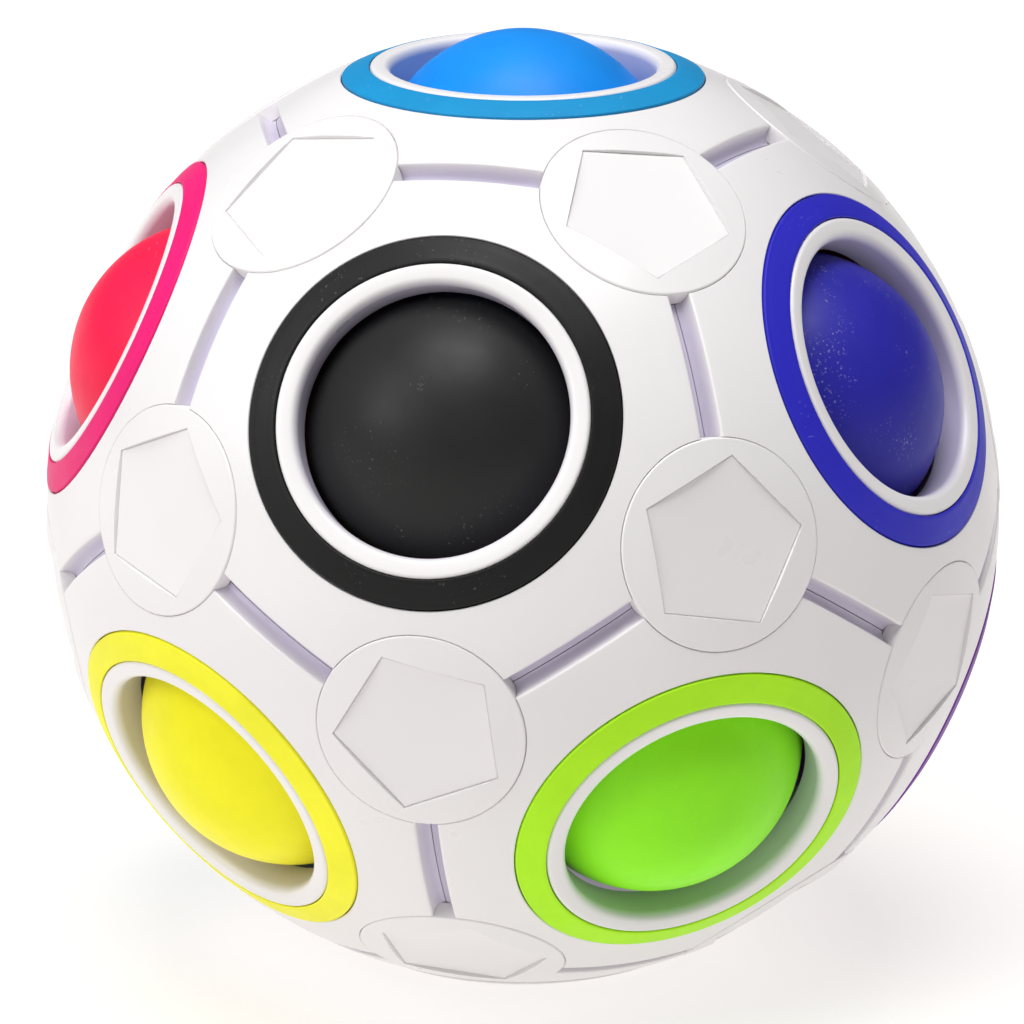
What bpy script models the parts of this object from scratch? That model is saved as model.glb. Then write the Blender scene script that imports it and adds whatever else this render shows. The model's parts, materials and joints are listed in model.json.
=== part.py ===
"""Ball-shifting puzzle ball: a hollow shell of twelve panels that holds eleven loose balls.

The shell is a dodecahedron drawn on a sphere. Each of its twelve panels has one round window with
a raised lip and a coloured ring, and twenty round caps clamp the corners where three panels meet.
Eleven balls sit in eleven of the windows, pressed outwards by a soft core, and one window is empty.
The puzzle stands on the flat lip of its empty window, and the origin is in the middle of that lip.
"""

import math
from itertools import combinations

import bmesh
import bpy
from mathutils import Matrix, Vector

# Shell
SHELL_RADIUS = 0.035
WALL = 0.002
PANEL_GAP = 0.0003  # between neighbouring panels
GROOVE_WIDTH = 0.0013  # across the sunk joint of two panels
GROOVE_DEPTH = 0.0008

# Balls and core
BALL_RADIUS = 0.0109
BALL_SEAT_GAP = 0.0005  # between a ball at rest and the edge of its throat
CORE_GAP = 0.0003

# Window
BALL_HOLD = 0.0013  # how much narrower than a ball the throat is, in radius
THROAT_LENGTH = 0.00235  # from the lip's flat crest down to the edge that stops the ball
LIP_WIDTH = 0.0015
LIP_RISE = 0.0002  # crest above the sphere at the lip's outer side
LIP_BEVEL = 0.00045  # on both sides of the flat crest

# Coloured ring around the window
RING_WIDTH = 0.002
RING_THICKNESS = 0.0008
RING_PROUD = 0.00012
RING_CLEARANCE = 0.00015

# Corner caps
CAP_RADIUS = 0.00735
CAP_SEAT_DEPTH = 0.0013
CAP_CLEARANCE = 0.00015
CAP_PROUD = 0.00006
PENTAGON_MARGIN = 0.00105  # from the pentagon's corners to the cap's edge
PENTAGON_SINK = 0.00005  # how deep the flat lies at the pentagon's corners
STEM_RADIUS = 0.0014
STEM_CLEARANCE = 0.0002
BARB_OVERHANG = 0.0007  # how far the barb reaches past the stem
BARB_LENGTH = 0.0012
BARB_CLEARANCE = 0.0004

# Facets
WINDOW_SIDES = 20
PANEL_STEPS = 2  # along a panel from its window to its corners
GROOVE_STEPS = 3
CAP_SIDES = 15
STEM_SIDES = 6
BALL_SUBDIVISIONS = 3
MERGE = 0.000002

# Windows, by place: the two rings of five run anticlockwise as seen from above, from the front.
UPPER_PLACES = ("upper_front", "upper_right", "upper_back_right", "upper_back_left", "upper_left")
LOWER_PLACES = ("lower_front_right", "lower_right", "lower_back", "lower_left", "lower_front_left")
EMPTY_PLACE = "bottom"
SHIFTING_PLACE = "lower_back"  # the ball next to the empty window that can move over into it

COLOURS = {
    "top": ("light_blue", (0.033, 0.305, 0.855)),
    "upper_front": ("black", (0.026, 0.026, 0.028)),
    "upper_right": ("dark_blue", (0.032, 0.028, 0.330)),
    "upper_back_right": ("red", (0.620, 0.020, 0.022)),
    "upper_back_left": ("orange", (0.860, 0.190, 0.012)),
    "upper_left": ("pink", (0.900, 0.033, 0.130)),
    "lower_front_right": ("lime", (0.245, 0.745, 0.033)),
    "lower_right": ("purple", (0.165, 0.025, 0.300)),
    "lower_back": ("green", (0.012, 0.250, 0.080)),
    "lower_left": ("turquoise", (0.015, 0.520, 0.500)),
    "lower_front_left": ("yellow", (0.955, 0.870, 0.038)),
    "bottom": ("white", (0.830, 0.830, 0.850)),
}
WHITE = (0.830, 0.830, 0.850)
CORE_GREY = (0.300, 0.300, 0.310)

# How far each cap's pentagon is turned clockwise from upright, in degrees, row by row from the front.
CAP_TURNS = {
    "top": (47, 8, 61, 30, 22),
    "upper": (12, 55, 33, 4, 12),
    "lower": (49, 51, 20, 64, 38),
    "bottom": (16, 41, 5, 58, 27),
}

# Radii about a window's axis, and about a cap's
THROAT_RADIUS = BALL_RADIUS - BALL_HOLD
LIP_RADIUS = THROAT_RADIUS + LIP_WIDTH
RING_OUTER_RADIUS = LIP_RADIUS + RING_WIDTH
RECESS_RADIUS = RING_OUTER_RADIUS + RING_CLEARANCE
PENTAGON_RADIUS = CAP_RADIUS - PENTAGON_MARGIN

# Heights above the middle of the shell along a window's axis
CREST_HEIGHT = math.sqrt(SHELL_RADIUS**2 - LIP_RADIUS**2) + LIP_RISE
THROAT_HEIGHT = CREST_HEIGHT - THROAT_LENGTH
BALL_DISTANCE = THROAT_HEIGHT - math.sqrt((BALL_RADIUS + BALL_SEAT_GAP) ** 2 - THROAT_RADIUS**2)
CORE_RADIUS = BALL_DISTANCE - BALL_RADIUS - CORE_GAP
INNER_RADIUS = SHELL_RADIUS - WALL
RING_TOP = math.sqrt(SHELL_RADIUS**2 - RING_OUTER_RADIUS**2) + RING_PROUD
RING_BASE = RING_TOP - RING_THICKNESS
CAP_SEAT_RADIUS = SHELL_RADIUS - CAP_SEAT_DEPTH

# Angles of a regular dodecahedron, seen from its middle
RING_LEAN = math.atan(0.5)  # of the two rings of five windows, above and below the middle
WINDOW_TO_WINDOW = math.atan(2.0)
WINDOW_TO_CORNER = math.acos(math.sqrt((5.0 + 2.0 * math.sqrt(5.0)) / 15.0))
CORNER_TO_CORNER = math.acos(math.sqrt(5.0) / 3.0)

# A ball moves over to the empty window on an arc that leaves its chord at this angle
SHIFT_DIP = math.radians(13.0)


def on_sphere(radius, angle):
    """A profile point (distance from the axis, height) on a sphere, angle from the axis."""
    return radius * math.sin(angle), radius * math.cos(angle)


def at_radius(radius, from_axis):
    """A profile point on a sphere, at a distance from the axis."""
    return from_axis, math.sqrt(radius**2 - from_axis**2)


def arc(radius, start, end, steps):
    """Profile points on a sphere between two angles from the axis."""
    return [on_sphere(radius, start + (end - start) * k / steps) for k in range(steps + 1)]


def around(radius, sides):
    """The corner radius of a polygon drawn around a circle, so that a hole's flats stay clear of it."""
    return radius / math.cos(math.pi / sides)


def turned(name, profile, sides, closed=False):
    """A mesh turned about Z from a profile of (distance from the axis, height) points."""
    shape = bmesh.new()
    points = [shape.verts.new((r, 0.0, z)) for r, z in profile]
    edges = [shape.edges.new(pair) for pair in zip(points, points[1:])]
    if closed:
        edges.append(shape.edges.new((points[-1], points[0])))
    bmesh.ops.spin(
        shape,
        geom=points + edges,
        cent=(0, 0, 0),
        axis=(0, 0, 1),
        angle=math.tau,
        steps=sides,
    )
    bmesh.ops.remove_doubles(shape, verts=shape.verts, dist=MERGE)
    return finished_mesh(name, shape)


def finished_mesh(name, shape):
    """Turns a bmesh into a mesh whose faces point out."""
    bmesh.ops.recalc_face_normals(shape, faces=shape.faces)
    mesh = bpy.data.meshes.new(name)
    shape.to_mesh(mesh)
    shape.free()
    return mesh


def joined_copies(name, mesh, places):
    """One mesh that holds a copy of a mesh at each of some places."""
    shape = bmesh.new()
    for place in places:
        copy = mesh.copy()
        copy.transform(place)
        shape.from_mesh(copy)
        bpy.data.meshes.remove(copy)
    return finished_mesh(name, shape)


def combined(name, base, steps):
    """A mesh made from a base mesh by Boolean steps of (operation, cutter mesh)."""
    body = new_object(name + "_blank", base)
    cutters = []
    for operation, mesh in steps:
        cutter = new_object(mesh.name, mesh)
        cutter.hide_render = True
        cutter.display_type = "WIRE"
        cutters.append(cutter)
        cut = body.modifiers.new(mesh.name, "BOOLEAN")
        cut.operation = operation
        cut.solver = "EXACT"
        cut.object = cutter
    graph = bpy.context.evaluated_depsgraph_get()
    result = bpy.data.meshes.new_from_object(body.evaluated_get(graph))
    result.name = name
    for piece in [body] + cutters:
        bpy.data.objects.remove(piece)
    shape = bmesh.new()
    shape.from_mesh(result)
    bmesh.ops.dissolve_degenerate(shape, dist=MERGE, edges=shape.edges)
    bmesh.ops.dissolve_limit(
        shape,
        angle_limit=math.radians(0.2),
        verts=shape.verts,
        edges=shape.edges,
    )
    bpy.data.meshes.remove(result)
    return finished_mesh(name, shape)


def new_object(name, mesh):
    piece = bpy.data.objects.new(name, mesh)
    bpy.context.scene.collection.objects.link(piece)
    return piece


def guide(name, location, parent=None):
    """An empty that pieces hang on."""
    empty = new_object(name, None)
    empty.location = location
    empty.parent = parent
    empty.empty_display_size = 0.005
    return empty


def smooth(mesh, degrees=30.0):
    mesh.shade_smooth()
    mesh.set_sharp_from_angle(angle=math.radians(degrees))
    return mesh


def material(name, colour, roughness):
    surface = bpy.data.materials.new(name)
    surface.use_nodes = True
    shader = surface.node_tree.nodes["Principled BSDF"]
    shader.inputs["Base Color"].default_value = (*colour, 1.0)
    shader.inputs["Roughness"].default_value = roughness
    shader.inputs["Metallic"].default_value = 0.0
    return surface


def azimuth(direction):
    """The angle around +Z from the front (-Y) in degrees, anticlockwise as seen from above."""
    return round(math.degrees(math.atan2(direction.x, -direction.y)), 1) % 360


def direction_at(turn, lean):
    """The unit direction at an azimuth and a height angle."""
    flat = math.cos(lean)
    return Vector((math.sin(turn) * flat, -math.cos(turn) * flat, math.sin(lean)))


def window_axes():
    """The direction of each window from the middle of the shell, by place."""
    axes = {"top": Vector((0, 0, 1))}
    for k, place in enumerate(UPPER_PLACES):
        axes[place] = direction_at(k * math.tau / 5, RING_LEAN)
    for k, place in enumerate(LOWER_PLACES):
        axes[place] = direction_at((k + 0.5) * math.tau / 5, -RING_LEAN)
    axes["bottom"] = Vector((0, 0, -1))
    return axes


def corner_axes(windows):
    """The direction of each corner, where three windows meet, by row and number from the front."""
    touching = math.cos(WINDOW_TO_WINDOW) - 0.01
    corners = [
        (a + b + c).normalized()
        for a, b, c in combinations(windows.values(), 3)
        if min(a.dot(b), b.dot(c), c.dot(a)) > touching
    ]
    corners.sort(key=lambda corner: (-round(corner.z, 3), azimuth(corner)))
    return {
        (row, k + 1): corners[5 * r + k] for r, row in enumerate(CAP_TURNS) for k in range(5)
    }


def facing(axis, towards):
    """A rotation that takes +Z to an axis and +X to the side that another direction lies on."""
    side = (towards - axis * towards.dot(axis)).normalized()
    return Matrix((side, axis.cross(side), axis)).transposed().to_4x4()


def sides_of_panel():
    """The turns about +Z that take one side of a panel to each of its five sides."""
    return [Matrix.Rotation(k * math.tau / 5, 4, "Z") for k in range(5)]


def panel_mesh():
    """A panel about +Z, with a corner towards +X."""
    reach = WINDOW_TO_CORNER + math.radians(4.0)
    root = math.asin(LIP_RADIUS / INNER_RADIUS)
    rim = math.asin(RECESS_RADIUS / SHELL_RADIUS)
    floor = RING_BASE - RING_CLEARANCE
    profile = arc(INNER_RADIUS, reach, root, PANEL_STEPS)
    profile += [
        (THROAT_RADIUS, THROAT_HEIGHT),
        (THROAT_RADIUS, CREST_HEIGHT - LIP_BEVEL),
        (THROAT_RADIUS + LIP_BEVEL, CREST_HEIGHT),
        (LIP_RADIUS - LIP_BEVEL, CREST_HEIGHT),
        (LIP_RADIUS, CREST_HEIGHT - LIP_BEVEL),
        (LIP_RADIUS, floor),
        (RECESS_RADIUS, floor),
    ]
    profile += arc(SHELL_RADIUS, rim, reach, PANEL_STEPS)
    blank = turned("panel_blank", profile, WINDOW_SIDES, closed=True)
    cuts = [
        ("INTERSECT", panel_outline()),
        ("DIFFERENCE", groove_cutters()),
        ("DIFFERENCE", cap_seat_cutters()),
    ]
    return combined("panel", blank, cuts)


def panel_outline():
    """The five-sided pyramid from the middle of the shell that bounds a panel, less half the gap."""
    tip = PANEL_GAP / 2 / math.sin(WINDOW_TO_WINDOW / 2)
    top = SHELL_RADIUS * 1.2
    reach = (top - tip) * math.tan(WINDOW_TO_CORNER)
    shape = bmesh.new()
    shape.verts.new((0, 0, tip))
    for turn in sides_of_panel():
        shape.verts.new(turn @ Vector((reach, 0, top)))
    bmesh.ops.convex_hull(shape, input=shape.verts)
    return finished_mesh("panel_outline", shape)


def groove_cutters():
    """The five bars that sink the joints, bent along the sides of the panel."""
    to_corner = Vector((math.sin(WINDOW_TO_CORNER), 0, math.cos(WINDOW_TO_CORNER)))
    to_next = sides_of_panel()[1] @ to_corner
    across = to_corner.cross(to_next).normalized()
    section = [
        to_corner * height + across * side
        for height, side in (
            (SHELL_RADIUS - GROOVE_DEPTH, -GROOVE_WIDTH / 2),
            (SHELL_RADIUS - GROOVE_DEPTH, GROOVE_WIDTH / 2),
            (SHELL_RADIUS * 1.05, GROOVE_WIDTH / 2),
            (SHELL_RADIUS * 1.05, -GROOVE_WIDTH / 2),
        )
    ]
    start = (CAP_RADIUS - GROOVE_WIDTH) / SHELL_RADIUS
    length = CORNER_TO_CORNER - 2 * start
    turns = [start + length * k / GROOVE_STEPS for k in range(GROOVE_STEPS + 1)]
    bar = swept("groove_bar", section, [Matrix.Rotation(turn, 4, across) for turn in turns])
    return joined_copies("grooves", bar, sides_of_panel())


def swept(name, section, places):
    """A mesh that joins a section, a ring of points, at each of some places in turn."""
    shape = bmesh.new()
    rings = [[shape.verts.new(place @ point) for point in section] for place in places]
    for near, far in zip(rings, rings[1:]):
        for k in range(len(section)):
            shape.faces.new((near[k - 1], near[k], far[k], far[k - 1]))
    shape.faces.new(rings[0])
    shape.faces.new(rings[-1])
    return finished_mesh(name, shape)


def cap_seat_cutters():
    """The stepped plugs that sink the caps' seats and open the holes for their stems."""
    seat = around(CAP_RADIUS + CAP_CLEARANCE, CAP_SIDES)
    hole = around(STEM_RADIUS + STEM_CLEARANCE, STEM_SIDES)
    start = INNER_RADIUS * 0.9
    top = SHELL_RADIUS * 1.05
    plug = turned("seat_plug", cap_underside(seat, 0.0) + [(seat, top), (0, top)], CAP_SIDES)
    drill = turned("stem_drill", [(0, start), (hole, start), (hole, top), (0, top)], STEM_SIDES)
    tool = combined("cap_seat_tool", plug, [("UNION", drill)])
    to_corner = Matrix.Rotation(WINDOW_TO_CORNER, 4, "Y")
    return joined_copies("cap_seats", tool, [side @ to_corner for side in sides_of_panel()])


def cap_underside(radius, clearance):
    """Profile points, from the axis out, of a cap's conical seat, or of the cap that lies clear of it."""
    fall = (CAP_SEAT_RADIUS - at_radius(CAP_SEAT_RADIUS, CAP_RADIUS)[1]) * radius / CAP_RADIUS
    return [(0, CAP_SEAT_RADIUS + clearance), (radius, CAP_SEAT_RADIUS + clearance - fall)]


def cap_mesh():
    """A corner cap about +Z: a domed disc with a sunk flat pentagon, on a stem with a barb."""
    dome = SHELL_RADIUS + CAP_PROUD
    flat = PENTAGON_RADIUS * math.cos(math.tau / 10) * 0.98
    crown = at_radius(dome, flat)
    profile = cap_underside(CAP_RADIUS, CAP_CLEARANCE)
    profile += [at_radius(dome, CAP_RADIUS), crown, (0, crown[1])]
    disc = turned("cap_disc", profile, CAP_SIDES)
    return combined("cap", disc, [("UNION", stem_mesh()), ("DIFFERENCE", pentagon_cutter(dome))])


def stem_mesh():
    """A cap's stem, with the barb that holds it behind the panels."""
    barb = STEM_RADIUS + BARB_OVERHANG
    shoulder = at_radius(INNER_RADIUS, barb)[1] - BARB_CLEARANCE
    tip = shoulder - BARB_LENGTH
    inside_disc = CAP_SEAT_RADIUS + CAP_CLEARANCE + CAP_SEAT_DEPTH / 5
    profile = [
        (0, tip),
        (STEM_RADIUS / 2, tip),
        (barb, shoulder),
        (STEM_RADIUS, shoulder),
        (STEM_RADIUS, inside_disc),
        (0, inside_disc),
    ]
    return turned("cap_stem", profile, STEM_SIDES)


def pentagon_cutter(dome):
    """The five-sided block that sinks a cap's flat, with a corner towards +X."""
    floor = at_radius(dome, PENTAGON_RADIUS)[1] - PENTAGON_SINK
    outline = [side @ Vector((PENTAGON_RADIUS, 0, floor)) for side in sides_of_panel()]
    lift = Matrix.Translation((0, 0, SHELL_RADIUS / 5))
    return swept("pentagon", outline, [Matrix.Identity(4), lift])


def ring_mesh():
    """The coloured ring about +Z, which lies in the recess around a window."""
    inside = LIP_RADIUS + RING_CLEARANCE
    profile = [
        (inside, RING_BASE),
        (RING_OUTER_RADIUS, RING_BASE),
        (RING_OUTER_RADIUS, RING_TOP),
        (inside, at_radius(SHELL_RADIUS, inside)[1] + RING_PROUD),
    ]
    return turned("ring", profile, WINDOW_SIDES, closed=True)


def ball_mesh(name, radius):
    shape = bmesh.new()
    bmesh.ops.create_icosphere(shape, subdivisions=BALL_SUBDIVISIONS, radius=radius)
    return finished_mesh(name, shape)


def place_piece(name, mesh, surface, parent, matrix):
    """An object for one piece, hung on a guide, with its own material."""
    piece = new_object(name, mesh)
    if not mesh.materials:
        mesh.materials.append(None)
    piece.material_slots[0].link = "OBJECT"
    piece.material_slots[0].material = surface
    piece.parent = parent
    piece.matrix_local = matrix
    return piece


def shift_pivot(home, empty):
    """The middle of the arc on which a ball moves from its window over to the empty one."""
    half_turn = WINDOW_TO_WINDOW / 2
    half_chord = BALL_DISTANCE * math.sin(half_turn)
    reach = BALL_DISTANCE * math.cos(half_turn) + half_chord / math.tan(SHIFT_DIP)
    return (home + empty).normalized() * reach


def make_shell(windows, corners, middle):
    """The panels, their coloured rings and the corner caps."""
    panel = smooth(panel_mesh())
    ring = smooth(ring_mesh())
    cap = smooth(cap_mesh())
    for place, axis in windows.items():
        corner = max(corners.values(), key=axis.dot)
        turned_to = facing(axis, corner)
        colour, shade = COLOURS[place]
        plastic = material("panel_" + place, WHITE, 0.32)
        place_piece("panel_" + place, panel, plastic, middle, turned_to)
        plastic = material("ring_" + colour, shade, 0.30)
        place_piece("ring_" + colour, ring, plastic, middle, turned_to)
    for (row, number), axis in corners.items():
        turn = math.radians(CAP_TURNS[row][number - 1])
        turned_to = facing(axis, Vector((0, 0, 1))) @ Matrix.Rotation(-turn, 4, "Z")
        name = f"cap_{row}_{number}"
        place_piece(name, cap, material(name, WHITE, 0.32), middle, turned_to)


def make_inside(windows, middle):
    """The balls and the core that presses them outwards."""
    ball = smooth(ball_mesh("ball", BALL_RADIUS))
    pivot_place = shift_pivot(windows[SHIFTING_PLACE], windows[EMPTY_PLACE])
    pivot = guide("shift_pivot", pivot_place, middle)
    for place, axis in windows.items():
        if place == EMPTY_PLACE:
            continue
        colour, shade = COLOURS[place]
        centre = axis * BALL_DISTANCE
        parent = middle
        if place == SHIFTING_PLACE:
            parent = pivot
            centre = centre - pivot_place
        plastic = material("ball_" + colour, shade, 0.30)
        place_piece("ball_" + colour, ball, plastic, parent, Matrix.Translation(centre))
    core = smooth(ball_mesh("core", CORE_RADIUS))
    rubber = material("core", CORE_GREY, 0.80)
    place_piece("core", core, rubber, middle, Matrix.Identity(4))


def main():
    for piece in list(bpy.data.objects):
        bpy.data.objects.remove(piece)
    windows = window_axes()
    corners = corner_axes(windows)
    middle = guide("shell_middle", (0, 0, CREST_HEIGHT))
    make_shell(windows, corners, middle)
    make_inside(windows, middle)


main()
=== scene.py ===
"""Ball-shifting puzzle ball: the finished pieces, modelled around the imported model.

Twelve white panels, each with a round window in a raised lip, make the shell. A coloured ring lies
around each window, a round cap with a sunk pentagon clamps each corner, and eleven coloured balls
sit loose in their windows around a soft core. Each piece is modelled about +Z, with the middle of
the shell at the origin, and is then turned to its place.
"""

import json
import math
from itertools import combinations

import bmesh
import bpy
from bpy.props import FloatProperty, FloatVectorProperty, IntProperty, PointerProperty
from mathutils import Matrix, Vector


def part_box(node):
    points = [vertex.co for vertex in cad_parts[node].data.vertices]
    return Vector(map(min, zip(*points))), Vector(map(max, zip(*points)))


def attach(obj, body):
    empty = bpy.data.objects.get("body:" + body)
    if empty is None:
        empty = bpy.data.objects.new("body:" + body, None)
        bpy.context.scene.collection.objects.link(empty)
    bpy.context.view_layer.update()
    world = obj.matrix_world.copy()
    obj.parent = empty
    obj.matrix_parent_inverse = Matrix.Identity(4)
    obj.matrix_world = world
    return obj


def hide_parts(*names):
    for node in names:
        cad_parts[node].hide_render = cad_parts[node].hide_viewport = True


bl_info = {
    "name": "Ball-shifting puzzle ball",
    "version": (1, 0, 0),
    "blender": (4, 5, 0),
    "location": "3D View > Sidebar > Puzzle",
    "description": "Models the finished pieces of a ball-shifting puzzle ball around its frame",
    "category": "Add Mesh",
}

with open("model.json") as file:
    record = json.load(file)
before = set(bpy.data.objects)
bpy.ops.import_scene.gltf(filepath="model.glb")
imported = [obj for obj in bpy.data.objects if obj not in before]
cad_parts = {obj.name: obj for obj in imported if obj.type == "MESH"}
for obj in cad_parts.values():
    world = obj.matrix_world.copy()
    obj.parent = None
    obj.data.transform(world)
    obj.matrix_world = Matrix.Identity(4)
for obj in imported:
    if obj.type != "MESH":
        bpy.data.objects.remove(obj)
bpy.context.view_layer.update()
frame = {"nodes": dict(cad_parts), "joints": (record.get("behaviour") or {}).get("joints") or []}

SIDES = 5  # of a panel, and of a cap's pentagon
STEP = math.tau / SIDES

# Angles of a regular dodecahedron, seen from its middle
RING_LEAN = math.atan(0.5)
WINDOW_TO_WINDOW = math.atan(2.0)
WINDOW_TO_CORNER = math.acos(math.sqrt((5.0 + 2.0 * math.sqrt(5.0)) / 15.0))

# How far each cap's pentagon is turned clockwise from upright, in degrees. A row runs round the
# shell from the front.
CAP_TURNS = {
    "top": (47, 8, 61, 30, 22),
    "upper": (12, 55, 33, 4, 12),
    "lower": (49, 51, 20, 64, 38),
    "bottom": (16, 41, 5, 58, 27),
}

POLE = 0.000001  # radius at which a turned profile closes on its axis, and a cut's tolerance
MERGE = 0.000003  # distance under which points of a new shape are one

# Small distances inside the shell, out of sight
SEAT_GAP = 0.00005  # between a ring or a throat's edge and what lies under it
SMALL_CHAMFER = 0.0001
STEM_FILLET = 0.0002  # at the root of a cap's stem, and around it in its hole
BARB_REACH = 0.0006  # how far the barb of a cap stands out from its stem
BARB_HEIGHTS = (0.0003, 0.0009, 0.0011, 0.00115)  # up from the tip: taper, crest, rim, underside
CUTTER_SPARE = 0.0006  # how far a cutter stands past the surface that it cuts
PENTAGON_DRAFT = math.radians(8.0)
PENTAGON_BLOCK = 0.0014  # height of the block that sinks a pentagon

BALL_COLOURS = {
    "light_blue": (0.008, 0.275, 0.870),
    "black": (0.020, 0.020, 0.020),
    "dark_blue": (0.024, 0.022, 0.355),
    "red": (0.640, 0.012, 0.014),
    "orange": (0.900, 0.200, 0.010),
    "pink": (0.950, 0.014, 0.075),
    "lime": (0.300, 0.950, 0.014),
    "purple": (0.170, 0.020, 0.320),
    "green": (0.010, 0.260, 0.075),
    "turquoise": (0.010, 0.540, 0.520),
    "yellow": (0.980, 0.930, 0.014),
}
RING_COLOURS = {
    "light_blue": (0.010, 0.285, 0.600),
    "black": (0.011, 0.011, 0.011),
    "dark_blue": (0.028, 0.026, 0.520),
    "red": (0.620, 0.012, 0.020),
    "orange": (0.880, 0.190, 0.010),
    "pink": (0.840, 0.014, 0.180),
    "lime": (0.470, 0.950, 0.014),
    "purple": (0.190, 0.022, 0.350),
    "green": (0.010, 0.270, 0.085),
    "turquoise": (0.012, 0.520, 0.520),
    "yellow": (0.960, 0.930, 0.030),
    "white": (0.830, 0.815, 0.815),
}


def centre_of(node):
    low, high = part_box(node)
    return (low + high) / 2


MIDDLE = centre_of("core")
CREST = MIDDLE.z  # the puzzle stands on the crest of its lowest lip


def length(name, description, default):
    return FloatProperty(
        name=name, description=description, default=default, precision=5, unit="LENGTH"
    )


def colour(name, description, default):
    return FloatVectorProperty(
        name=name, description=description, default=default, size=3, subtype="COLOR", min=0, max=1
    )


class PuzzleSizes(bpy.types.PropertyGroup):
    """Sizes of the finished pieces"""

    shell_radius: length("Shell radius", "Outside of the panels", 0.035)
    wall: length("Wall", "Thickness of a panel", 0.002)
    joint_gap: length("Joint gap", "Between two panels", 0.00006)
    groove_width: length("Groove width", "Between the walls of a groove", 0.00156)
    groove_edge: length("Groove edge", "Rounding of a groove's edges", 0.00018)
    groove_depth: length("Groove depth", "From the panel's face to the groove's floor", 0.00115)
    groove_margin: length("Groove margin", "Even strip of face beside a groove", 0.0003)
    throat_radius: length("Throat radius", "Inside of a window", 0.0096)
    throat_length: length("Throat length", "From the lip's crest to the throat's end", 0.0028)
    lip_radius: length("Lip radius", "Outside of the lip around a window", 0.0111)
    lip_outer_round: length("Lip outer round", "Rounding of the lip's outer edge", 0.0003)
    lip_inner_round: length("Lip inner round", "Rounding of the lip's edge in the window", 0.0007)
    recess_radius: length("Recess radius", "Outside of the seat that holds a ring", 0.01320)
    ring_inside: length("Ring inside", "Inner radius of a coloured ring", 0.01116)
    ring_outside: length("Ring outside", "Outer radius of a coloured ring", 0.01312)
    ring_thickness: length("Ring thickness", "Thickness of a coloured ring", 0.0008)
    ring_proud: length("Ring proud", "Height of a ring above the panel", 0.00012)
    edge_round: length("Edge round", "Rounding of rings and their seats", 0.0001)
    ball_radius: length("Ball radius", "Radius of a ball", 0.0109)
    seam_width: length("Seam width", "Width of the parting line of a ball", 0.00016)
    seam_depth: length("Seam depth", "Depth of the parting line of a ball", 0.00004)
    core_radius: length("Core radius", "Radius of the soft core between the balls", 0.0142)
    core_dent_gap: length("Core dent gap", "Between a ball and its dent in the core", 0.0002)
    cap_radius: length("Cap radius", "Radius of a corner cap", 0.00743)
    cap_seat_radius: length("Cap seat radius", "Radius of the seat of a corner cap", 0.00745)
    cap_round: length("Cap round", "Rounding of a cap's rim and of its seat", 0.00013)
    cap_seat_depth: length("Cap seat depth", "From the panel's face to a cap's seat", 0.0013)
    cap_proud: length("Cap proud", "Height of a cap above the panels", 0.00006)
    pentagon_radius: length("Pentagon radius", "From the middle to a corner", 0.0063)
    pentagon_sink: length("Pentagon sink", "Depth of the flat at its corners", 0.00005)
    crease_width: length("Crease width", "Width of the crease around the flat", 0.00012)
    crease_depth: length("Crease depth", "Depth of the crease around the flat", 0.0001)
    stem_radius: length("Stem radius", "Radius of the stem behind a cap", 0.0014)
    stem_length: length("Stem length", "From a cap's seat to the tip of its barb", 0.0027)
    window_sides: IntProperty(
        name="Window facets", description="Facets around a window", default=160, min=20
    )
    cap_sides: IntProperty(
        name="Cap facets", description="Facets around a corner cap", default=120, min=20
    )


class PuzzleColours(bpy.types.PropertyGroup):
    """Colours of the shared finishes"""

    white: colour("White plastic", "Panels and caps", (0.840, 0.818, 0.822))
    # Groove tint: a lavender painted shade for the grooves and hollows of the panels
    groove_shade: colour("Groove tint", "What settles in the grooves", (0.520, 0.470, 0.640))
    rubber: colour("Core", "Soft core", (0.300, 0.300, 0.310))
    floor: colour("Floor", "Studio floor", (0.350, 0.345, 0.340))
    floor_glow: colour("Floor glow", "Light that the floor gives off", (0.700, 0.680, 0.665))


class PuzzleStage(bpy.types.PropertyGroup):
    """Camera of the studio"""

    azimuth: FloatProperty(
        name="Azimuth", description="Camera's turn to the right", default=math.radians(12.18),
        subtype="ANGLE",
    )
    elevation: FloatProperty(
        name="Elevation", description="Camera's height", default=math.radians(16.64),
        subtype="ANGLE",
    )
    distance: length("Distance", "From the camera to the middle of the shell", 0.4975)
    lens: FloatProperty(
        name="Lens", description="Focal length in millimetres", default=237.3, min=1.0
    )


# ---------------------------------------------------------------- modelling helpers


def sizes():
    return bpy.context.scene.puzzle_sizes


def on_sphere(radius, from_axis):
    """The height of a sphere about the middle at a distance from the axis."""
    return math.sqrt(radius**2 - from_axis**2)


def quarter(centre, across, up, steps, start=0.0, end=0.5 * math.pi):
    """Profile points on a quarter of an ellipse about a centre, from across to up."""
    points = []
    for k in range(steps + 1):
        turn = start + (end - start) * k / steps
        points.append((centre[0] + across * math.cos(turn), centre[1] + up * math.sin(turn)))
    return points


def fresh_start():
    if bpy.context.object and bpy.context.object.mode != "OBJECT":
        bpy.ops.object.mode_set(mode="OBJECT")
    bpy.ops.object.select_all(action="DESELECT")


def only(piece):
    """Makes a piece the only selected one, and the active one."""
    fresh_start()
    piece.select_set(True)
    bpy.context.view_layer.objects.active = piece
    return piece


def edit(piece):
    only(piece)
    bpy.ops.object.mode_set(mode="EDIT")
    bpy.ops.mesh.select_mode(type="VERT")
    return piece


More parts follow.
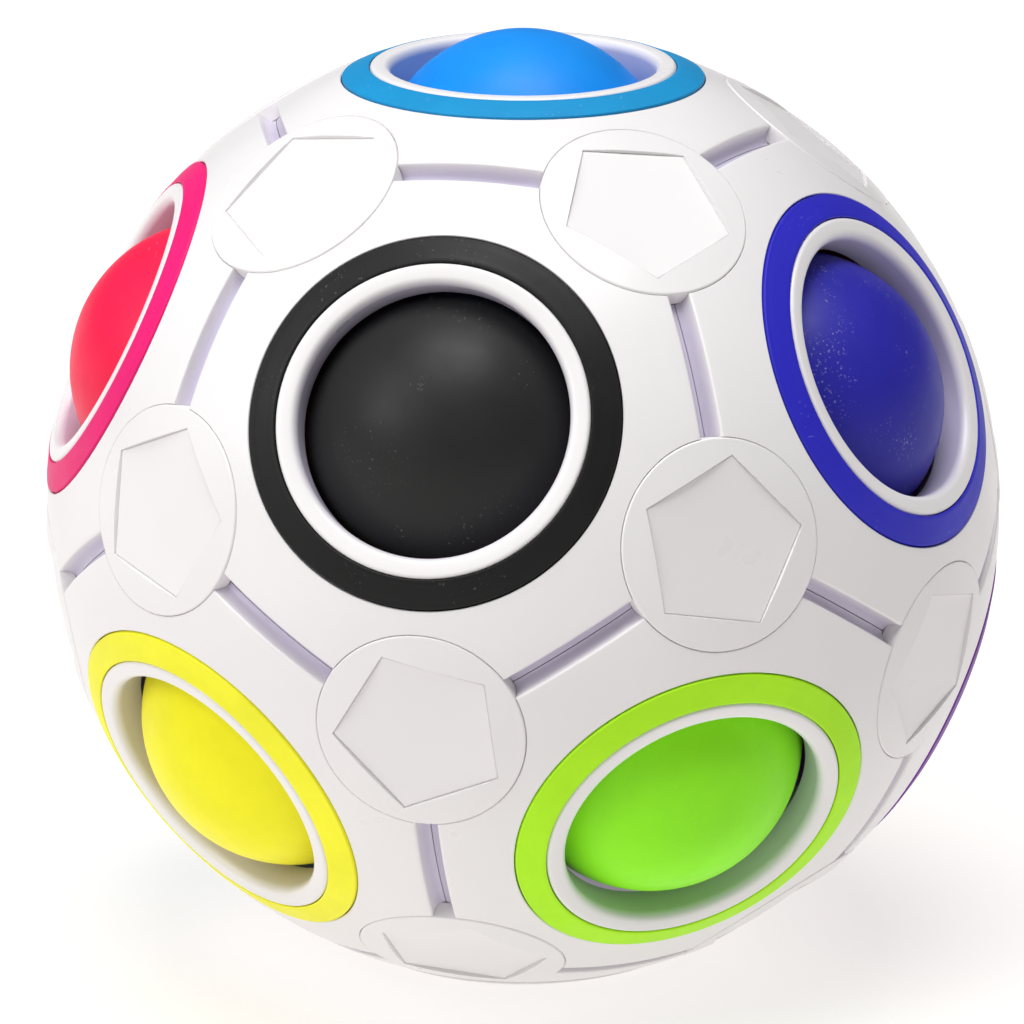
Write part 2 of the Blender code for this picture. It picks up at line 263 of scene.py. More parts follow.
def select_where(piece, wanted):
    """Selects the vertices that a test picks, and what lies between them."""
    shape = bmesh.from_edit_mesh(piece.data)
    count = 0
    for vertex in shape.verts:
        vertex.select = wanted(vertex)
        count += vertex.select
    shape.select_flush(True)
    shape.select_flush(False)
    bmesh.update_edit_mesh(piece.data)
    if not count:
        raise RuntimeError(f"nothing to select on {piece.name}")


def finish_shape(merge=MERGE):
    """Closes seams and poles, points all faces out and leaves edit mode."""
    bpy.ops.mesh.select_all(action="SELECT")
    bpy.ops.mesh.remove_doubles(threshold=merge)
    bpy.ops.mesh.normals_make_consistent(inside=False)
    bpy.ops.object.mode_set(mode="OBJECT")


def turned(name, profile, sides, ends="poles"):
    """A piece turned about Z: a circle that is extruded from one profile point to the next.

    A profile point is (distance from the axis, height). The ends close on the axis ("poles"), meet
    each other ("joined") or stay open ("open").
    """
    fresh_start()
    profile = [(max(radius, POLE), height) for radius, height in profile]
    radius, height = profile[0]
    bpy.ops.mesh.primitive_circle_add(vertices=sides, radius=radius, location=(0, 0, 0))
    piece = bpy.context.object
    piece.name = name
    bpy.ops.object.mode_set(mode="EDIT")
    bpy.ops.mesh.select_mode(type="EDGE")
    bpy.ops.mesh.select_all(action="SELECT")
    bpy.ops.transform.translate(value=(0, 0, height))
    points = profile[1:]
    if ends == "joined":
        points = points + profile[:1]
    for next_radius, next_height in points:
        bpy.ops.mesh.extrude_edges_move(
            TRANSFORM_OT_translate={"value": (0, 0, next_height - height)}
        )
        scale = next_radius / radius
        bpy.ops.transform.resize(value=(scale, scale, 1), center_override=(0, 0, next_height))
        radius, height = next_radius, next_height
    if ends == "open":
        bpy.ops.object.mode_set(mode="OBJECT")
    else:
        finish_shape()
    return piece


def cut(piece, cutter, operation="DIFFERENCE"):
    """Applies a Boolean to a piece and takes the cutter away."""
    only(piece)
    step = piece.modifiers.new("Cut", "BOOLEAN")
    step.operation = operation
    step.solver = "EXACT"
    step.object = cutter
    bpy.ops.object.modifier_apply(modifier=step.name)
    bpy.data.objects.remove(cutter)
    return piece


def copy_of(piece, name):
    """A copy with its own mesh."""
    twin = piece.copy()
    twin.data = piece.data.copy()
    twin.name = name
    bpy.context.scene.collection.objects.link(twin)
    return twin


def placed(piece, matrix):
    """Turns a piece about the middle of the shell, and applies its place to its mesh."""
    piece.matrix_world = Matrix.Translation(MIDDLE) @ matrix
    only(piece)
    bpy.ops.object.transform_apply(location=True, rotation=True, scale=True)
    return piece


def joined(pieces):
    only(pieces[0])
    for piece in pieces[1:]:
        piece.select_set(True)
    bpy.ops.object.join()
    return pieces[0]


def smooth(piece, degrees):
    """Smooth shading that is led by the large faces, with sharp edges past an angle."""
    only(piece)
    bpy.ops.object.shade_smooth_by_angle(angle=math.radians(degrees), keep_sharp_edges=False)
    step = piece.modifiers.new("Weighted Normal", "WEIGHTED_NORMAL")
    step.mode = "FACE_AREA"
    step.weight = 80
    step.keep_sharp = True
    bpy.ops.object.modifier_apply(modifier=step.name)
    return piece


# ---------------------------------------------------------------- places


def direction_at(turn, lean):
    flat = math.cos(lean)
    return Vector((math.sin(turn) * flat, -math.cos(turn) * flat, math.sin(lean)))


def window_axes():
    """The directions of the twelve windows: top, upper five, lower five and bottom."""
    upper = [direction_at(k * STEP, RING_LEAN) for k in range(SIDES)]
    lower = [direction_at((k + 0.5) * STEP, -RING_LEAN) for k in range(SIDES)]
    return [Vector((0, 0, 1))] + upper + lower + [Vector((0, 0, -1))]


def corner_axes():
    """The directions of the twenty corners, where three windows meet."""
    touching = math.cos(WINDOW_TO_WINDOW) - 0.01
    return [
        (a + b + c).normalized()
        for a, b, c in combinations(window_axes(), 3)
        if min(a.dot(b), b.dot(c), c.dot(a)) > touching
    ]


def axis_of(node, axes):
    """The direction in which a CAD node lies."""
    return max(axes, key=(centre_of(node) - MIDDLE).dot)


def facing(axis, towards):
    """A rotation that takes +Z to an axis and +X to the side that another direction lies on."""
    side = (towards - axis * towards.dot(axis)).normalized()
    return Matrix((side, axis.cross(side), axis)).transposed().to_4x4()


def window_place(node):
    axis = axis_of(node, window_axes())
    return facing(axis, max(corner_axes(), key=axis.dot))


def nodes_of(kind):
    return sorted(name for name in frame["nodes"] if name.startswith(kind + "_"))


def fit_in(piece, node, body):
    """Puts a finished piece in the place of its CAD node."""
    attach(piece, body)
    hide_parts(node)


# ---------------------------------------------------------------- finishes


class Finish:
    """A material under construction, with its Principled shader."""

    def __init__(self, name):
        self.material = bpy.data.materials.new(name)
        self.material.use_nodes = True
        self.nodes = self.material.node_tree.nodes
        self.shader = self.nodes["Principled BSDF"]
        self.place = self.add("ShaderNodeTexCoord").outputs["Object"]

    def add(self, kind, **settings):
        node = self.nodes.new(kind)
        for name, value in settings.items():
            setattr(node, name, value)
        return node

    def link(self, output, target):
        self.material.node_tree.links.new(output, target)

    def set(self, **values):
        for name, value in values.items():
            self.shader.inputs[name.replace("_", " ")].default_value = value

    def noise(self, scale, detail=2.0, rough=0.5, stretch=None):
        """Noise whose features are about 1 / scale metres wide."""
        node = self.add("ShaderNodeTexNoise")
        node.inputs["Scale"].default_value = scale
        node.inputs["Detail"].default_value = detail
        node.inputs["Roughness"].default_value = rough
        source = self.place
        if stretch:
            mapping = self.add("ShaderNodeMapping")
            mapping.inputs["Rotation"].default_value = stretch[0]
            mapping.inputs["Scale"].default_value = stretch[1]
            self.link(self.place, mapping.inputs["Vector"])
            source = mapping.outputs["Vector"]
        self.link(source, node.inputs["Vector"])
        return node.outputs["Fac"]

    def ranged(self, value, low, high, to_low, to_high):
        node = self.add("ShaderNodeMapRange")
        self.link(value, node.inputs["Value"])
        levels = (low, high, to_low, to_high)
        for name, level in zip(("From Min", "From Max", "To Min", "To Max"), levels):
            node.inputs[name].default_value = level
        return node.outputs["Result"]

    def mixed(self, factor, first, second):
        """A colour between two, which are colours or outputs."""
        node = self.add("ShaderNodeMix", data_type="RGBA")
        self.link(factor, node.inputs["Factor"])
        for socket, source in ((node.inputs[6], first), (node.inputs[7], second)):
            if isinstance(source, bpy.types.NodeSocket):
                self.link(source, socket)
            else:
                socket.default_value = (*source, 1.0)
        return node.outputs[2]

    def maths(self, operation, first, second):
        node = self.add("ShaderNodeMath", operation=operation)
        for socket, source in zip(node.inputs, (first, second)):
            if isinstance(source, bpy.types.NodeSocket):
                self.link(source, socket)
            else:
                socket.default_value = source
        return node.outputs["Value"]

    def depth(self):
        """How far a point lies from the middle of the shell."""
        centred = self.add("ShaderNodeVectorMath", operation="SUBTRACT")
        centred.inputs[1].default_value = MIDDLE
        self.link(self.place, centred.inputs[0])
        reach = self.add("ShaderNodeVectorMath", operation="LENGTH")
        self.link(centred.outputs["Vector"], reach.inputs[0])
        return reach.outputs["Value"]

    def bump(self, *layers):
        """Stacks bumps of (height output, strength, distance in metres)."""
        normal = None
        for height, strength, distance in layers:
            node = self.add("ShaderNodeBump")
            node.inputs["Strength"].default_value = strength
            node.inputs["Distance"].default_value = distance
            self.link(height, node.inputs["Height"])
            if normal:
                self.link(normal, node.inputs["Normal"])
            normal = node.outputs["Normal"]
        self.link(normal, self.shader.inputs["Normal"])

    def scuffs(self, turn):
        """Hairline scratches in one direction, in patches, from 0 to 1."""
        streaks = self.noise(4200.0, 2.0, 0.5, (turn, (1.0, 0.05, 1.0)))
        patches = self.noise(150.0, 2.0, 0.5)
        thin = self.ranged(streaks, 0.66, 0.72, 0.0, 1.0)
        here = self.ranged(patches, 0.52, 0.62, 0.0, 1.0)
        return self.maths("MULTIPLY", thin, here)

    def specks(self, size, share):
        """Small rough specks in patches, from 0 to 1, on about a share of the surface."""
        grains = self.noise(1.0 / size, 3.0, 0.6)
        patches = self.noise(210.0, 3.0, 0.6)
        small = self.ranged(grains, 0.60, 0.66, 0.0, 1.0)
        here = self.ranged(patches, 0.66 - share, 0.74 - share, 0.0, 1.0)
        return self.maths("MULTIPLY", small, here)


PLASTIC_IOR = 1.49


def shaded(tint, share):
    return tuple(channel * share for channel in tint)


def towards_white(tint, share):
    return tuple(channel + (1.0 - channel) * share for channel in tint)


def white_plastic(name, seed_turn, painted_shade_share):
    """Satin white moulded plastic, with a share of painted shade in its grooves and hollows."""
    colours = bpy.context.scene.puzzle_colours
    finish = Finish(name)
    clouds = finish.noise(55.0, 3.0, 0.55)
    body = finish.mixed(
        finish.ranged(clouds, 0.35, 0.65, 0.0, 1.0),
        tuple(colours.white),
        shaded(colours.white, 0.965),
    )
    face = sizes().shell_radius
    # Painted shade: the groove tint grows from 0.2 to 1 mm under the face, in grooves and hollows
    low = finish.ranged(finish.depth(), face - 0.0010, face - 0.0002, 1.0, 0.0)
    tinted = finish.mixed(finish.maths("MULTIPLY", low, painted_shade_share), body, tuple(colours.groove_shade))
    scuffs = finish.scuffs((0.4, 0.9, seed_turn))
    faint = finish.maths("MULTIPLY", scuffs, 0.03)
    marked = finish.mixed(faint, tinted, shaded(colours.white, 0.75))
    finish.link(marked, finish.shader.inputs["Base Color"])
    sheen = finish.ranged(finish.noise(140.0, 3.0, 0.6), 0.3, 0.7, 0.27, 0.38)
    rough = finish.maths("ADD", sheen, finish.maths("MULTIPLY", scuffs, 0.05))
    finish.link(rough, finish.shader.inputs["Roughness"])
    finish.set(IOR=PLASTIC_IOR)
    grain = finish.noise(2600.0, 2.0, 0.5)
    ripple = finish.noise(260.0, 2.0, 0.5)
    finish.bump((ripple, 0.10, 0.00006), (grain, 0.10, 0.00002), (scuffs, -0.05, 0.00001))
    return finish.material


def coloured_plastic(name, tint, turn, gloss, wear=0.0):
    """Moulded coloured plastic with fine grain, and with hairlines and specks that show lighter."""
    finish = Finish(name)
    clouds = finish.noise(120.0, 4.0, 0.6)
    body = finish.mixed(
        finish.ranged(clouds, 0.35, 0.65, 0.0, 1.0), shaded(tint, 1.0), shaded(tint, 0.90)
    )
    hairlines = finish.scuffs((turn, 0.7, 0.2 + turn))
    specks = finish.specks(0.00022, wear)
    scuffs = finish.maths("MAXIMUM", finish.maths("MULTIPLY", hairlines, 0.35), specks)
    worn = finish.mixed(finish.maths("MULTIPLY", scuffs, 0.5), body, towards_white(tint, 0.35))
    finish.link(worn, finish.shader.inputs["Base Color"])
    sheen = finish.ranged(finish.noise(220.0, 3.0, 0.6), 0.3, 0.7, gloss - 0.05, gloss + 0.08)
    rough = finish.maths("ADD", sheen, finish.maths("MULTIPLY", scuffs, 0.2))
    finish.link(rough, finish.shader.inputs["Roughness"])
    finish.set(IOR=PLASTIC_IOR, Specular_IOR_Level=0.2)
    grain = finish.noise(3200.0, 2.0, 0.5)
    ripple = finish.noise(330.0, 2.0, 0.5)
    finish.bump((ripple, 0.10, 0.00004), (grain, 0.12, 0.00002), (scuffs, -0.3, 0.00001))
    return finish.material


def soft_rubber(name):
    finish = Finish(name)
    tint = tuple(bpy.context.scene.puzzle_colours.rubber)
    bloom = finish.noise(160.0, 4.0, 0.6)
    body = finish.mixed(finish.ranged(bloom, 0.35, 0.7, 0.0, 1.0), tint, towards_white(tint, 0.12))
    finish.link(body, finish.shader.inputs["Base Color"])
    rough = finish.ranged(bloom, 0.3, 0.7, 0.72, 0.9)
    finish.link(rough, finish.shader.inputs["Roughness"])
    finish.bump((finish.noise(1500.0, 3.0, 0.6), 0.3, 0.00005))
    return finish.material


def floor_paper(name):
    finish = Finish(name)
    tint = tuple(bpy.context.scene.puzzle_colours.floor)
    fibres = finish.noise(900.0, 4.0, 0.6)
    body = finish.mixed(finish.ranged(fibres, 0.3, 0.7, 0.0, 1.0), tint, shaded(tint, 0.985))
    finish.link(body, finish.shader.inputs["Base Color"])
    glow = (*bpy.context.scene.puzzle_colours.floor_glow, 1.0)
    finish.set(Roughness=0.85, Emission_Color=glow, Emission_Strength=1.0)
    finish.bump((fibres, 0.15, 0.0001))
    return finish.material


# ---------------------------------------------------------------- panels


def panel_profile():
    """From the outer rim of a panel over its face, ring seat and lip to the rim of its inside."""
    s = sizes()
    reach = WINDOW_TO_CORNER + math.radians(3.0)  # past the corners, which are then cut off
    inner = s.shell_radius - s.wall
    edge = s.recess_radius + s.edge_round
    face_start = math.asin(edge / s.shell_radius)
    ring_base = on_sphere(s.shell_radius, s.ring_outside) + s.ring_proud - s.ring_thickness
    floor = ring_base - SEAT_GAP
    face_steps = 22
    profile = []
    for k in range(face_steps + 1):
        turn = reach + (face_start - reach) * k / face_steps
        profile.append((s.shell_radius * math.sin(turn), s.shell_radius * math.cos(turn)))
    rim = (edge, on_sphere(s.shell_radius, edge) - s.edge_round)
    upright = 0.5 * math.pi - face_start
    for point in quarter(rim, s.edge_round, s.edge_round, 4, upright, 0.0)[1:]:
        profile.append((2 * edge - point[0], point[1]))
    profile.append((s.recess_radius, floor))
    profile.append((s.lip_radius, floor))
    outer = s.lip_outer_round
    profile += quarter((s.lip_radius - outer, CREST - outer), outer, outer, 6)
    inside = s.lip_inner_round
    across = 0.8 * inside
    centre = s.throat_radius + across
    for point in quarter((centre, CREST - inside), across, inside, 8, 0.5 * math.pi, 0.0):
        profile.append((2 * centre - point[0], point[1]))
    throat_end = CREST - s.throat_length
    profile.append((s.throat_radius, throat_end + SMALL_CHAMFER))
    profile.append((s.throat_radius + SMALL_CHAMFER, throat_end))
    root = math.asin(s.lip_radius / inner)
    inner_steps = 8
    for k in range(inner_steps + 1):
        turn = root + (reach - root) * k / inner_steps
        profile.append((inner * math.sin(turn), inner * math.cos(turn)))
    return profile


def side_normal(k):
    """The outward normal of the plane through the middle that bounds side k of a panel."""
    lean = WINDOW_TO_WINDOW / 2
    turn = (k + 0.5) * STEP
    flat = math.cos(lean)
    return Vector((math.cos(turn) * flat, math.sin(turn) * flat, -math.sin(lean)))


def move_sides(piece, rim, distance):
    """Moves the rim of a panel outwards, square to each side, with mitred corners."""

    def turn_of(vertex):
        return (math.atan2(vertex.co.y, vertex.co.x) / STEP) % SIDES

    corner_span = 0.0005  # of a side's length, at each of its ends
    for k in range(SIDES):
        select_where(piece, lambda v: rim(v) and corner_span < turn_of(v) - k < 1 - corner_span)
        bpy.ops.transform.translate(value=side_normal(k) * distance)
        at_corner = (k - corner_span) % SIDES

        def is_corner(vertex):
            return rim(vertex) and (turn_of(vertex) - at_corner) % SIDES < 2 * corner_span

        select_where(piece, is_corner)
        mitre = (side_normal(k) + side_normal(k - 1)) * (2.0 / 3.0)
        bpy.ops.transform.translate(value=mitre * distance)


def panel_shape():
    """A panel: turned, cut to five sides, with half a groove along each, and cap seats cut out."""
    s = sizes()
    panel = turned("panel_shape", panel_profile(), s.window_sides, ends="open")
    half, edge = s.groove_width / 2, s.groove_edge
    start = half + edge
    edit(panel)
    for k in range(SIDES):
        normal = side_normal(k)
        for margin in (0.0, s.groove_margin):
            bpy.ops.mesh.select_all(action="SELECT")
            plane = normal * -(start + margin)
            bpy.ops.mesh.bisect(
                plane_co=plane, plane_no=normal, clear_outer=margin == 0.0, threshold=POLE
            )
    bpy.ops.mesh.select_all(action="SELECT")
    bpy.ops.mesh.remove_doubles(threshold=MERGE)
    between = s.shell_radius - 0.7 * s.wall  # deeper than a groove, and short of the inside

    def outer_rim(vertex):
        return vertex.is_boundary and vertex.co.length > between

    def inner_rim(vertex):
        return vertex.is_boundary and vertex.co.length < between

    rounding = quarter((0.0, 0.0), edge, edge, 5, 0.5 * math.pi, 0.0)
    hollow = quarter((0.0, edge), half, s.groove_depth - edge, 9)
    track = [(start - across, edge - up) for across, up in rounding]
    track += hollow[1:-1] + [(s.joint_gap / 2, s.groove_depth)]
    at, depth = track[0]
    for next_at, next_depth in track[1:]:
        select_where(panel, outer_rim)
        bpy.ops.mesh.extrude_edges_move(TRANSFORM_OT_translate={"value": (0, 0, 0)})
        scale = (s.shell_radius - next_depth) / (s.shell_radius - depth)
        bpy.ops.transform.resize(value=(scale, scale, scale), center_override=(0, 0, 0))
        move_sides(panel, outer_rim, at * scale - next_at)
        at, depth = next_at, next_depth
    select_where(panel, inner_rim)
    bpy.ops.mesh.extrude_edges_move(TRANSFORM_OT_translate={"value": (0, 0, 0)})
    move_sides(panel, inner_rim, start - s.joint_gap / 2)
    select_where(panel, lambda v: v.is_boundary)
    bpy.ops.mesh.select_mode(type="EDGE")
    bpy.ops.mesh.select_non_manifold()
    bpy.ops.mesh.bridge_edge_loops()
    bpy.ops.mesh.select_mode(type="VERT")
    finish_shape(0.000001)
    return smooth(cut(panel, cap_seats()), 32.0)


def cap_seats():
    """The five plugs that cut the seats of the caps at a panel's corners."""
    s = sizes()
    seat = s.cap_seat_radius
    hole = s.stem_radius + STEM_FILLET
    bottom = (s.shell_radius - s.wall) * 0.9  # well inside the shell
    seat_height = s.shell_radius - s.cap_seat_depth
    seat_edge = seat_height - (s.shell_radius - on_sphere(s.shell_radius, seat))
    top = on_sphere(s.shell_radius, seat)
    flare = s.cap_round
    profile = [(0, bottom), (hole, bottom), (hole, seat_height - STEM_FILLET)]
    profile.append((seat, seat_edge))
    for turn in [math.radians(angle) for angle in (0, 20, 40, 60)]:
        out, up = flare * (1 - math.cos(turn)), flare * (math.sin(turn) - 1.2)
        profile.append((seat + out, top + up))
    profile += [(seat + flare + CUTTER_SPARE, top + CUTTER_SPARE), (0, top + 5 * CUTTER_SPARE)]
    plug = turned("cap_seats", profile, s.cap_sides)
    plugs = [plug] + [copy_of(plug, "cap_seat") for _ in range(SIDES - 1)]
    for k, piece in enumerate(plugs):
        turn = Matrix.Rotation(k * STEP, 4, "Z") @ Matrix.Rotation(WINDOW_TO_CORNER, 4, "Y")
        piece.matrix_world = turn
        only(piece)
        bpy.ops.object.transform_apply(location=True, rotation=True, scale=True)
    return joined(plugs)


class PUZZLE_OT_panels(bpy.types.Operator):
    """Models the twelve white panels of the shell"""

    bl_idname = "puzzle.panels"
    bl_label = "Panels"

    def execute(self, context):
        shape = panel_shape()
        for number, node in enumerate(nodes_of("panel")):
            piece = placed(copy_of(shape, "moulded_" + node), window_place(node))
            piece.data.materials.clear()
            # 0.75 is the share of painted shade in the panels' grooves and hollows
            piece.data.materials.append(white_plastic("white_" + node, 0.4 * number, 0.75))
            fit_in(piece, node, "shell")
        bpy.data.objects.remove(shape)
        return {"FINISHED"}


# ---------------------------------------------------------------- rings


def ring_shape():
    """A coloured ring with rounded edges, its top following the shell."""
    s = sizes()
    top_radius = s.shell_radius + s.ring_proud
    base = on_sphere(s.shell_radius, s.ring_outside) + s.ring_proud - s.ring_thickness
    edge = s.edge_round
    inside, outside = s.ring_inside, s.ring_outside
    profile = [(inside, base), (outside - edge, base), (outside, base + edge)]
    outer_top = on_sphere(top_radius, outside)
    profile += quarter((outside - edge, outer_top - edge), edge, edge, 4)
    steps = 6
    for k in range(1, steps):
        radius = outside - edge + (inside - outside + 2 * edge) * k / steps
        profile.append((radius, on_sphere(top_radius, radius)))
    inner_top = on_sphere(top_radius, inside)
    centre = inside + edge
    for point in quarter((centre, inner_top - edge), edge, edge, 4, 0.5 * math.pi, 0.0):
        profile.append((2 * centre - point[0], point[1]))
    return smooth(turned("ring_shape", profile, s.window_sides, ends="joined"), 50.0)


class PUZZLE_OT_rings(bpy.types.Operator):
    """Models the coloured rings around the windows"""

    bl_idname = "puzzle.rings"
    bl_label = "Rings"

    def execute(self, context):
        shape = ring_shape()
        for number, node in enumerate(nodes_of("ring")):
            name = node.removeprefix("ring_")
            piece = placed(copy_of(shape, "moulded_" + node), window_place(node))
            piece.data.materials.clear()
            plastic = coloured_plastic(node, RING_COLOURS[name], 0.5 * number, gloss=0.46)
            piece.data.materials.append(plastic)
            fit_in(piece, node, "shell")
        bpy.data.objects.remove(shape)
        return {"FINISHED"}


# ---------------------------------------------------------------- caps


def cap_shape():
    """A corner cap: a domed disc with a sunk pentagon, on a stem with a barb."""
    s = sizes()
    dome = s.shell_radius + s.cap_proud
    seat_height = s.shell_radius - s.cap_seat_depth + SMALL_CHAMFER
    rim = s.cap_radius
    underside = seat_height - (s.shell_radius - on_sphere(s.shell_radius, rim))
    stem = s.stem_radius
    tip = seat_height - s.stem_length
    barb = stem + BARB_REACH
    taper, crest, barb_rim, barb_end = (tip + height for height in BARB_HEIGHTS)
    profile = [
        (0, tip),
        (stem * 0.6, tip),
        (stem, taper),
        (barb, crest),
        (barb - SMALL_CHAMFER, barb_rim),
        (stem, barb_end),
        (stem, seat_height - STEM_FILLET),
        (stem + STEM_FILLET, seat_height),
        (rim - SMALL_CHAMFER, underside),
        (rim, underside + SMALL_CHAMFER),
    ]
    edge = s.cap_round
    crown = on_sphere(dome, rim - edge)
    profile += quarter((rim - edge, crown - edge), edge, edge, 5)
    steps = 14
    for k in range(1, steps + 1):
        radius = (rim - edge) * (1 - k / steps)
        profile.append((radius, on_sphere(dome, radius)))
    cap = turned("cap_shape", profile, s.cap_sides)
    return smooth(cut(cap, pentagon_cutter(dome)), 24.0)


def pentagon_cutter(dome):
    """The five-sided block, wider at its top, that sinks a cap's flat."""
    s = sizes()
    floor = on_sphere(dome, s.pentagon_radius) - s.pentagon_sink
    apothem = s.pentagon_radius * math.cos(STEP / 2)
    scale = 1 + math.tan(PENTAGON_DRAFT) * PENTAGON_BLOCK / apothem
    fresh_start()
    bpy.ops.mesh.primitive_circle_add(
        vertices=SIDES, radius=s.pentagon_radius, fill_type="NGON", location=(0, 0, floor),
        rotation=(0, 0, -0.25 * math.tau),
    )
    block = bpy.context.object
    bpy.ops.object.transform_apply(location=True, rotation=True, scale=True)
    edit(block)
    bpy.ops.mesh.select_all(action="SELECT")
    bpy.ops.mesh.extrude_region_move(TRANSFORM_OT_translate={"value": (0, 0, PENTAGON_BLOCK)})
    bpy.ops.transform.resize(value=(scale, scale, 1), center_override=(0, 0, floor))
    bpy.ops.mesh.select_all(action="SELECT")
    bpy.ops.mesh.normals_make_consistent(inside=False)
    bpy.ops.mesh.select_all(action="DESELECT")
    low = floor + PENTAGON_BLOCK / 2
    select_where(block, lambda v: v.co.z < low)
    bpy.ops.mesh.inset(thickness=s.crease_width)
    corner = s.pentagon_radius - s.crease_width / 2
    select_where(block, lambda v: v.co.z < low and v.co.xy.length > corner)
    bpy.ops.transform.translate(value=(0, 0, -s.crease_depth))
    finish_shape()
    return block


class PUZZLE_OT_caps(bpy.types.Operator):
    """Models the twenty round caps at the corners of the panels"""

    bl_idname = "puzzle.caps"
    bl_label = "Corner caps"

    def execute(self, context):
        shape = cap_shape()
        axes = corner_axes()
        for number, node in enumerate(nodes_of("cap")):
            row, place = node.removeprefix("cap_").split("_")
            turn = math.radians(CAP_TURNS[row][int(place) - 1])
            upright = facing(axis_of(node, axes), Vector((0, 0, 1)))
            piece = copy_of(shape, "moulded_" + node)
            placed(piece, upright @ Matrix.Rotation(-turn, 4, "Z"))
            piece.data.materials.clear()
            piece.data.materials.append(white_plastic("white_" + node, 0.3 + 0.7 * number, 0.0))
            fit_in(piece, node, "shell")
        bpy.data.objects.remove(shape)
        return {"FINISHED"}


# ---------------------------------------------------------------- balls and core


def ball_shape(name, radius, segments, rings):
    """A ball with the parting line of its mould around its waist."""
    s = sizes()
    fresh_start()
    bpy.ops.mesh.primitive_uv_sphere_add(
        segments=segments, ring_count=rings, radius=radius, location=(0, 0, 0)
    )
    ball = bpy.context.object
    ball.name = name
    edit(ball)
    half = s.seam_width / 2
    for side in (-1, 1):
        bpy.ops.mesh.select_all(action="SELECT")
        bpy.ops.mesh.bisect(plane_co=(0, 0, side * half), plane_no=(0, 0, 1), threshold=POLE)
    select_where(ball, lambda v: abs(v.co.z) < 0.2 * half)
    scale = 1 - s.seam_depth / radius
    bpy.ops.transform.resize(value=(scale, scale, 1), center_override=(0, 0, 0))
    finish_shape()
    return ball


class PUZZLE_OT_balls(bpy.types.Operator):
    """Models the eleven coloured balls"""

    bl_idname = "puzzle.balls"
    bl_label = "Balls"

    def execute(self, context):
        shape = smooth(ball_shape("ball_shape", sizes().ball_radius, 96, 64), 40.0)
        for number, node in enumerate(nodes_of("ball")):
            name = node.removeprefix("ball_")
            lift = Matrix.Translation((0, 0, (centre_of(node) - MIDDLE).length))
            piece = placed(copy_of(shape, "moulded_" + node), window_place(node) @ lift)
            piece.data.materials.clear()
            wear = 0.10 if name == "dark_blue" else 0.0
            plastic = coloured_plastic(node, BALL_COLOURS[name], 0.9 * number, 0.44, wear)
            piece.data.materials.append(plastic)
            fit_in(piece, node, node)
        bpy.data.objects.remove(shape)
        return {"FINISHED"}


def places_of_ball(joint):
    """Where a ball's middle goes as its joint moves, seen from the middle of the shell."""
    rest = centre_of(joint["child"])
    axis = Vector(joint["axis"])
    if joint["type"] == "slide":
        return [rest - MIDDLE, rest + axis * joint["range_m"][1] - MIDDLE]
    pivot = Vector(joint["pos_m"])
    travel = math.radians(joint["range_deg"][1])
    steps = 9
    turns = [Matrix.Rotation(travel * k / steps, 3, axis) for k in range(steps + 1)]
    return [pivot + turn @ (rest - pivot) - MIDDLE for turn in turns]


class PUZZLE_OT_core(bpy.types.Operator):
    """Models the soft core, hollowed out where a ball lies against it or moves into it"""

    bl_idname = "puzzle.core"
    bl_label = "Core"

    def execute(self, context):
        s = sizes()
        core = ball_shape("rubber_core", s.core_radius, 96, 64)
        for joint in frame["joints"]:
            for place in places_of_ball(joint):
                fresh_start()
                bpy.ops.mesh.primitive_uv_sphere_add(
                    segments=64,
                    ring_count=32,
                    radius=s.ball_radius + s.core_dent_gap,
                    location=place,
                )
                cut(core, bpy.context.object)
        smooth(core, 40.0)
        placed(core, Matrix.Identity(4))
        core.data.materials.clear()
        core.data.materials.append(soft_rubber("core_rubber"))
        fit_in(core, "core", "shell")
        return {"FINISHED"}


# ---------------------------------------------------------------- stage


def aim(thing, target):
    """Points a camera or a light at a place."""
    thing.rotation_euler = (target - thing.location).to_track_quat("-Z", "Y").to_euler()


def soft_light(name, azimuth, elevation, distance, size, power, tint):
    """A square area light that faces the puzzle, from the camera's azimuth 0 at the front."""
    turn, lean = math.radians(azimuth), math.radians(elevation)
    fresh_start()
    bpy.ops.object.light_add(type="AREA", location=MIDDLE + direction_at(turn, lean) * distance)
    light = bpy.context.object
    light.name = name
    light.data.shape = "SQUARE"
    light.data.size = size
    light.data.energy = power
    light.data.color = tint
    aim(light, MIDDLE)
    return light


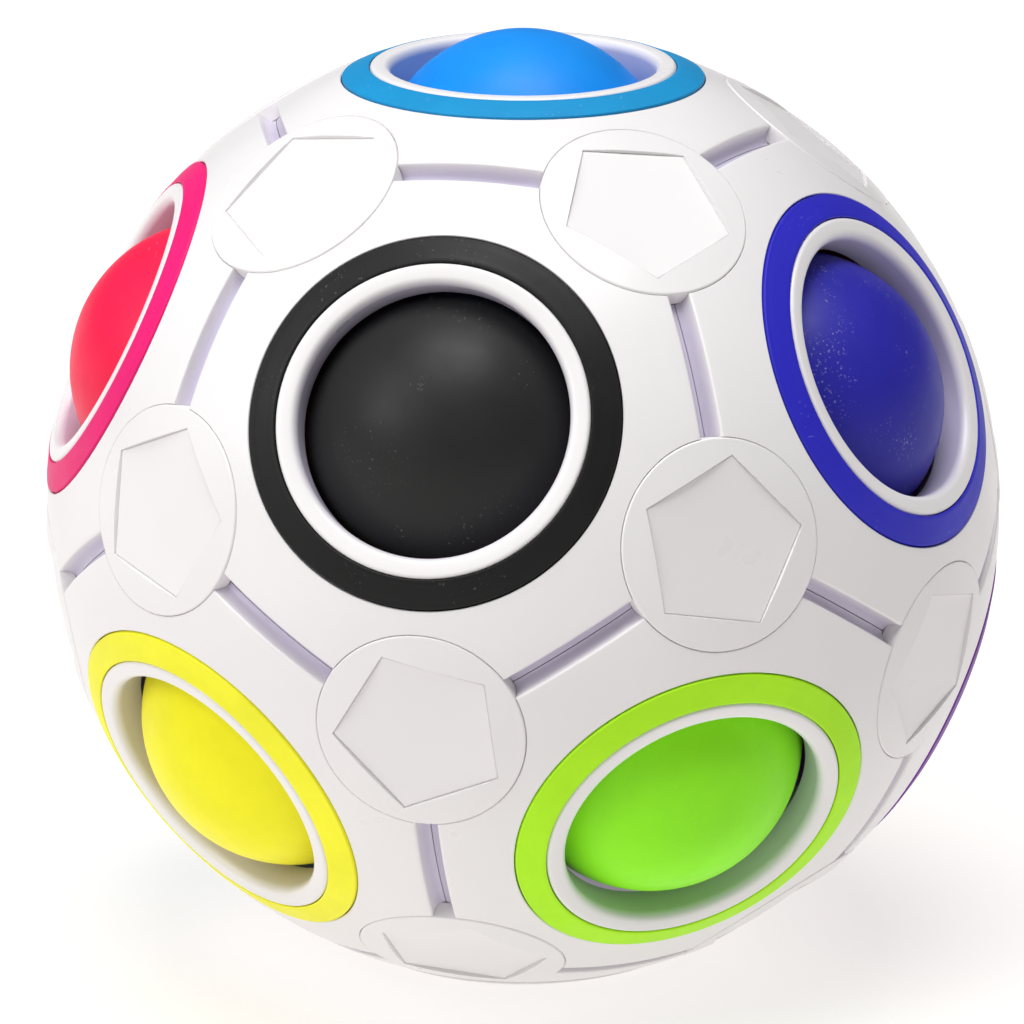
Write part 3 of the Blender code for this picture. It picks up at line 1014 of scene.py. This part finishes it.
class PUZZLE_OT_stage(bpy.types.Operator):
    """Sets up the floor, the studio light and the camera"""

    bl_idname = "puzzle.stage"
    bl_label = "Studio"

    def execute(self, context):
        scene = context.scene
        stage = scene.puzzle_stage
        fresh_start()
        bpy.ops.mesh.primitive_plane_add(size=6.0, location=(0, 0, 0))
        floor = context.object
        floor.name = "studio_floor"
        floor.data.materials.append(floor_paper("floor_paper"))

        world = bpy.data.worlds.new("studio_world")
        world.use_nodes = True
        sky = world.node_tree.nodes["Background"]
        sky.inputs["Color"].default_value = (0.97, 0.95, 1.0, 1.0)
        sky.inputs["Strength"].default_value = 0.12
        scene.world = world
        soft_light("key_light", -50.0, 36.0, 2.5, 1.6, 32.0, (1.0, 1.0, 1.0))
        soft_light("top_light", 20.0, 85.0, 2.5, 1.6, 61.0, (1.0, 1.0, 1.0))

        bpy.ops.object.camera_add()
        camera = context.object
        camera.name = "studio_camera"
        camera.data.lens = stage.lens
        camera.data.shift_x = -0.011
        camera.data.shift_y = -0.0055
        camera.data.clip_start = 0.01
        view = direction_at(stage.azimuth, stage.elevation)
        camera.location = MIDDLE + view * stage.distance
        aim(camera, MIDDLE)
        scene.camera = camera
        scene.view_settings.view_transform = "Standard"
        return {"FINISHED"}


class PUZZLE_PT_sidebar(bpy.types.Panel):
    """Sidebar panel that lists the steps"""

    bl_label = "Puzzle ball"
    bl_idname = "PUZZLE_PT_sidebar"
    bl_space_type = "VIEW_3D"
    bl_region_type = "UI"
    bl_category = "Puzzle"

    def draw(self, context):
        for operator in OPERATORS:
            self.layout.operator(operator.bl_idname)
        for group in (context.scene.puzzle_sizes, context.scene.puzzle_colours,
                      context.scene.puzzle_stage):
            box = self.layout.box()
            for name in group.__annotations__:
                box.prop(group, name)


OPERATORS = (
    PUZZLE_OT_panels,
    PUZZLE_OT_rings,
    PUZZLE_OT_caps,
    PUZZLE_OT_balls,
    PUZZLE_OT_core,
    PUZZLE_OT_stage,
)
CLASSES = (PuzzleSizes, PuzzleColours, PuzzleStage, *OPERATORS, PUZZLE_PT_sidebar)


def register():
    for item in CLASSES:
        bpy.utils.register_class(item)
    bpy.types.Scene.puzzle_sizes = PointerProperty(type=PuzzleSizes)
    bpy.types.Scene.puzzle_colours = PointerProperty(type=PuzzleColours)
    bpy.types.Scene.puzzle_stage = PointerProperty(type=PuzzleStage)


def unregister():
    del bpy.types.Scene.puzzle_stage
    del bpy.types.Scene.puzzle_colours
    del bpy.types.Scene.puzzle_sizes
    for item in reversed(CLASSES):
        bpy.utils.unregister_class(item)


def main():
    register()
    bpy.ops.puzzle.panels()
    bpy.ops.puzzle.rings()
    bpy.ops.puzzle.caps()
    bpy.ops.puzzle.balls()
    bpy.ops.puzzle.core()
    bpy.ops.puzzle.stage()


if __name__ == "__main__":
    main()
